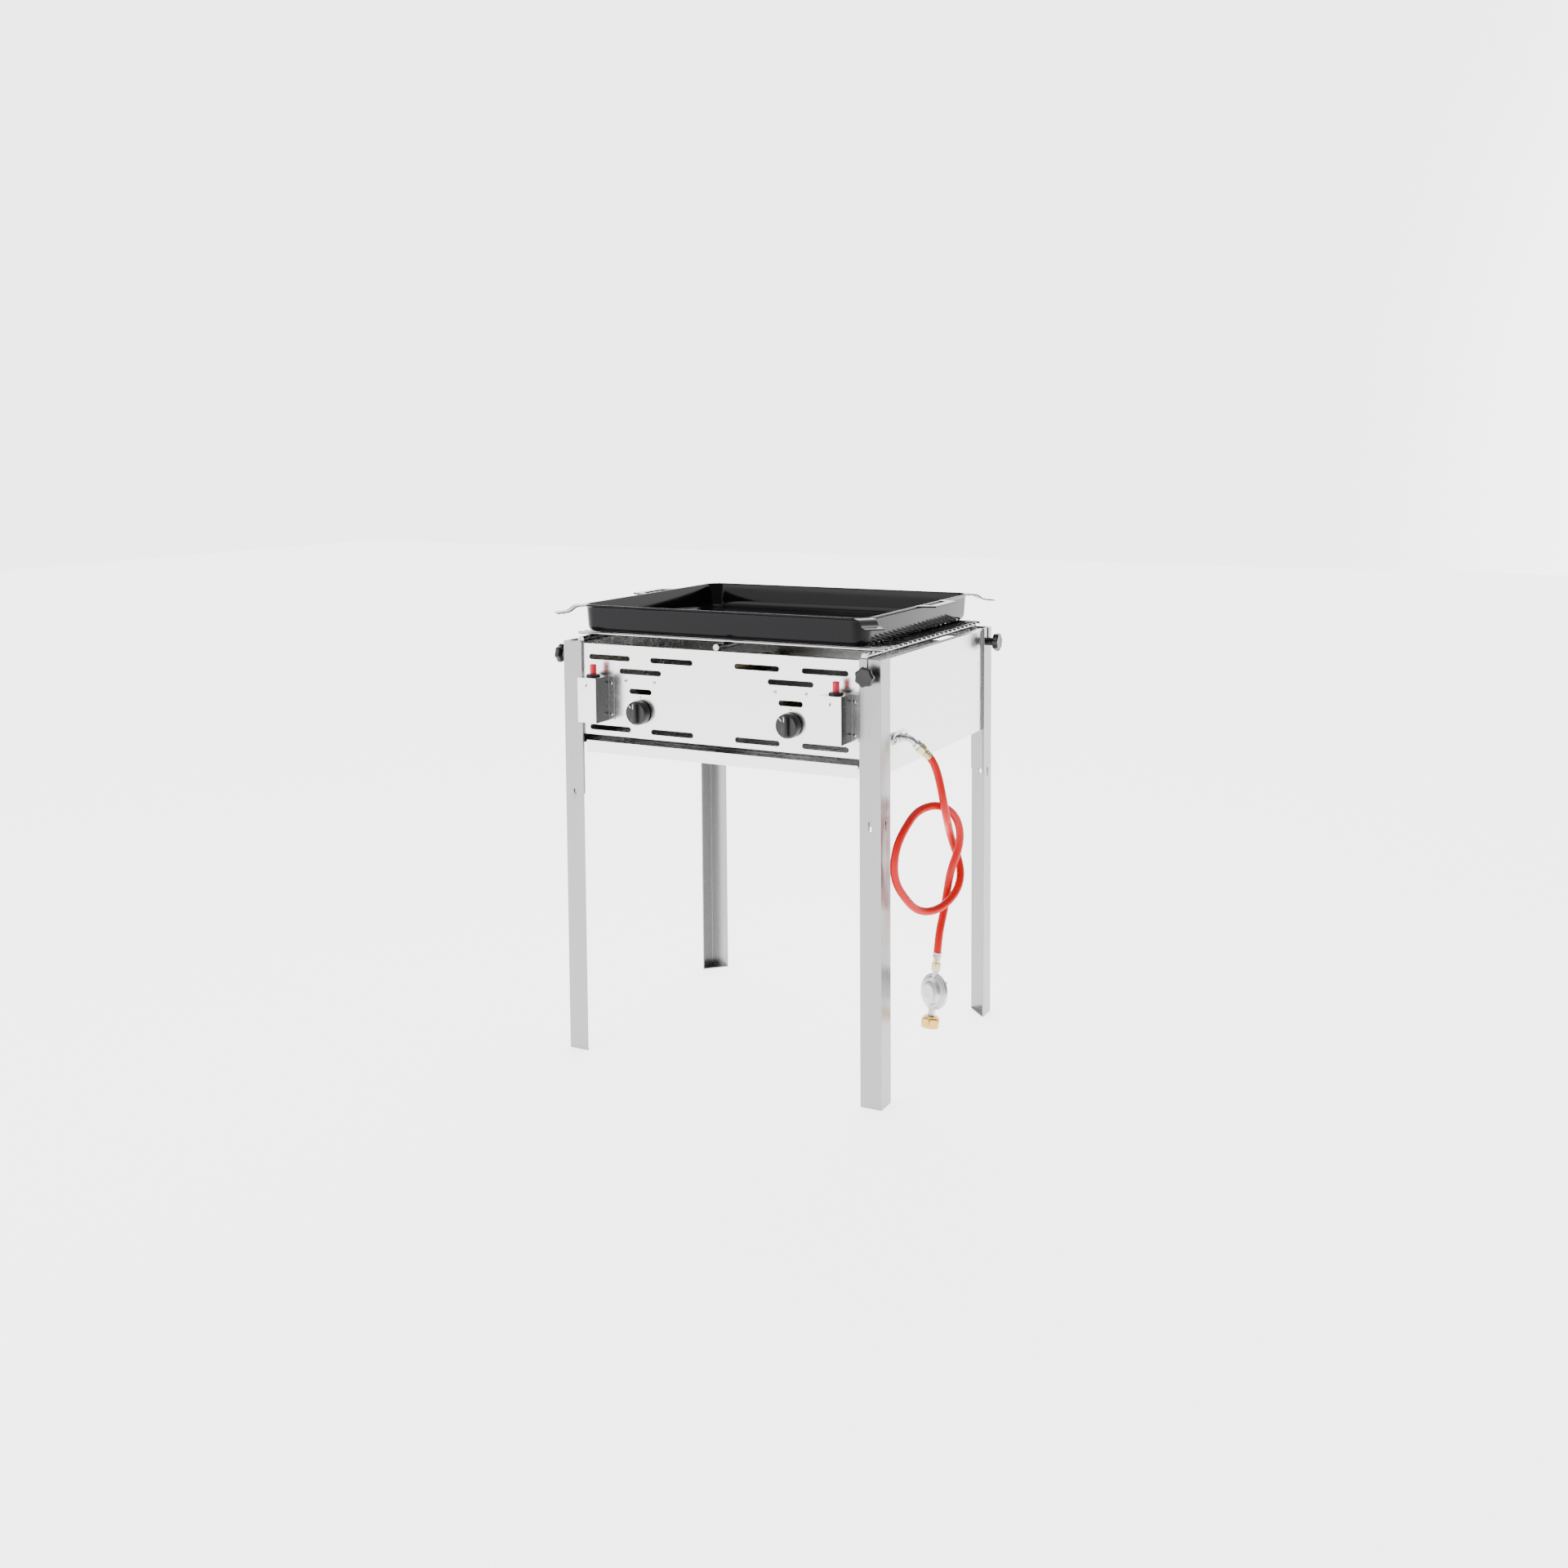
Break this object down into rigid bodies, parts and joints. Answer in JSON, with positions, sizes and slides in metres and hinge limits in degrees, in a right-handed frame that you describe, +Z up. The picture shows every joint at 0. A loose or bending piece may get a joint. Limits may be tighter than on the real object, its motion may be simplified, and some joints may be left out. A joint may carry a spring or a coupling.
{
  "type": "two-burner gas cooking stand",
  "caption": "Free-standing gas cooking stand: slotted steel body on removable angle legs, wire grate, enamelled pan, drip tray, and a hanging hose with a regulator.",
  "frame": {"origin": "on the floor, under the middle of the outline of the stand", "axes": "+Z up, front towards -Y, +X to the right seen from the front"},
  "size_m": [0.7562, 0.61, 0.8497],
  "materials": {
    "stainless": "bright cold-rolled sheet",
    "stainless_dull": "plain inner sheet",
    "enamel_black": "glossy black enamel on steel",
    "plastic_black": "smooth glossy moulding",
    "plastic_black_matt": "satin moulding",
    "plastic_red": "glossy moulding",
    "plastic_white": "smooth moulding",
    "brass": "bright",
    "brass_pale": "pale, bright",
    "chrome": "bright plating",
    "zinc": "satin die casting",
    "wire": "bright plated wire",
    "hose_red": "smooth satin",
    "ceramic": "glazed",
    "copper": "plain"
  },
  "bodies": {
    "body": {"front_panel": "stainless", "back_panel": "stainless", "left_side_panel": "stainless", "right_side_panel": "stainless", "post_front_left": "stainless", "post_front_right": "stainless", "post_back_left": "stainless", "post_back_right": "stainless", "clamp_nuts": "chrome", "tray_runners": "stainless_dull", "burner_left": "brass", "burner_right": "brass", "burner_crossbars": "stainless_dull", "gas_manifold": "zinc", "valve_body_left": "brass_pale", "valve_body_right": "brass_pale", "valve_spring_left": "chrome", "valve_spring_right": "chrome", "injectors": "brass", "electrodes": "ceramic", "thermocouples": "copper", "igniter_box_left": "stainless", "igniter_box_right": "stainless", "igniter_body_left": "plastic_black_matt", "igniter_body_right": "plastic_black_matt", "panel_screws": "chrome", "inlet_pipe": "chrome", "inlet_nut": "chrome", "hose_connector": "brass_pale", "gas_hose": "hose_red", "hose_end_ferrule": "zinc", "regulator_nut": "brass_pale", "regulator_body": "zinc", "regulator_cover": "zinc", "regulator_cap": "plastic_white"},
    "leg_front_left": {"leg_front_left": "stainless"},
    "leg_front_right": {"leg_front_right": "stainless"},
    "leg_back_left": {"leg_back_left": "stainless"},
    "leg_back_right": {"leg_back_right": "stainless"},
    "star_knob_front_left": {"star_knob_front_left": "plastic_black"},
    "star_knob_front_right": {"star_knob_front_right": "plastic_black"},
    "star_knob_back_left": {"star_knob_back_left": "plastic_black"},
    "star_knob_back_right": {"star_knob_back_right": "plastic_black"},
    "drip_tray": {"drip_tray": "stainless"},
    "valve_plunger_left": {"valve_plunger_left": "brass"},
    "gas_knob_left": {"gas_knob_left": "plastic_black_matt", "spindle_left": "chrome"},
    "igniter_button_left": {"igniter_button_left": "plastic_red"},
    "valve_plunger_right": {"valve_plunger_right": "brass"},
    "gas_knob_right": {"gas_knob_right": "plastic_black_matt", "spindle_right": "chrome"},
    "igniter_button_right": {"igniter_button_right": "plastic_red"},
    "grate": {"grate_rods": "wire", "grate_wires": "wire"},
    "pan": {"pan": "enamel_black", "pan_handle_left": "enamel_black", "pan_handle_right": "enamel_black", "pan_tongues": "enamel_black"},
    "cylinder_nut": {"cylinder_nut": "brass"}
  },
  "joints": [
    {"name": "leg_front_left_slide", "type": "slide", "parent": "body", "child": "leg_front_left", "axis": [0, 0, -1], "range_m": [0, 0.3]},
    {"name": "leg_front_right_slide", "type": "slide", "parent": "body", "child": "leg_front_right", "axis": [0, 0, -1], "range_m": [0, 0.3]},
    {"name": "leg_back_left_slide", "type": "slide", "parent": "body", "child": "leg_back_left", "axis": [0, 0, -1], "range_m": [0, 0.3]},
    {"name": "leg_back_right_slide", "type": "slide", "parent": "body", "child": "leg_back_right", "axis": [0, 0, -1], "range_m": [0, 0.3]},
    {"name": "star_knob_front_left_turn", "type": "hinge", "parent": "body", "child": "star_knob_front_left", "pos_m": [-0.325, -0.2445, 0.7555], "axis": [-1, 0, 0], "range_deg": [0, 720]},
    {"name": "star_knob_front_right_turn", "type": "hinge", "parent": "body", "child": "star_knob_front_right", "pos_m": [0.3045, -0.265, 0.7555], "axis": [0, -1, 0], "range_deg": [0, 720]},
    {"name": "star_knob_back_left_turn", "type": "hinge", "parent": "body", "child": "star_knob_back_left", "pos_m": [-0.3045, 0.275, 0.7555], "axis": [0, 1, 0], "range_deg": [0, 720]},
    {"name": "star_knob_back_right_turn", "type": "hinge", "parent": "body", "child": "star_knob_back_right", "pos_m": [0.325, 0.2545, 0.7555], "axis": [1, 0, 0], "range_deg": [0, 720]},
    {"name": "drip_tray_slide", "type": "slide", "parent": "body", "child": "drip_tray", "axis": [0, -1, 0], "range_m": [0, 0.45]},
    {"name": "gas_knob_left_push", "type": "slide", "parent": "body", "child": "valve_plunger_left", "axis": [0, 1, 0], "range_m": [0, 0.003], "stiffness_N_per_m": 1500, "springref_m": -0.003, "deforming": ["valve_spring_left"]},
    {"name": "gas_knob_left_turn", "type": "hinge", "parent": "valve_plunger_left", "child": "gas_knob_left", "pos_m": [-0.159, -0.26, 0.6586], "axis": [0, -1, 0], "range_deg": [0, 180]},
    {"name": "gas_knob_right_push", "type": "slide", "parent": "body", "child": "valve_plunger_right", "axis": [0, 1, 0], "range_m": [0, 0.003], "stiffness_N_per_m": 1500, "springref_m": -0.003, "deforming": ["valve_spring_right"]},
    {"name": "gas_knob_right_turn", "type": "hinge", "parent": "valve_plunger_right", "child": "gas_knob_right", "pos_m": [0.151, -0.26, 0.6586], "axis": [0, -1, 0], "range_deg": [0, 180]},
    {"name": "igniter_button_left_press", "type": "slide", "parent": "body", "child": "igniter_button_left", "axis": [0, 0, -1], "range_m": [0, 0.005], "stiffness_N_per_m": 500, "springref_m": -0.004},
    {"name": "igniter_button_right_press", "type": "slide", "parent": "body", "child": "igniter_button_right", "axis": [0, 0, -1], "range_m": [0, 0.005], "stiffness_N_per_m": 500, "springref_m": -0.004},
    {"name": "grate_lift", "type": "slide", "parent": "body", "child": "grate", "axis": [0, 0, 1], "range_m": [0, 0.08]},
    {"name": "pan_lift", "type": "slide", "parent": "grate", "child": "pan", "axis": [0, 0, 1], "range_m": [0, 0.12]},
    {"name": "cylinder_nut_turn", "type": "hinge", "parent": "body", "child": "cylinder_nut", "pos_m": [0.37196, -0.1586, 0.12654], "axis": [-0.0483, -0.1488, -0.9877], "continuous": true}
  ]
}
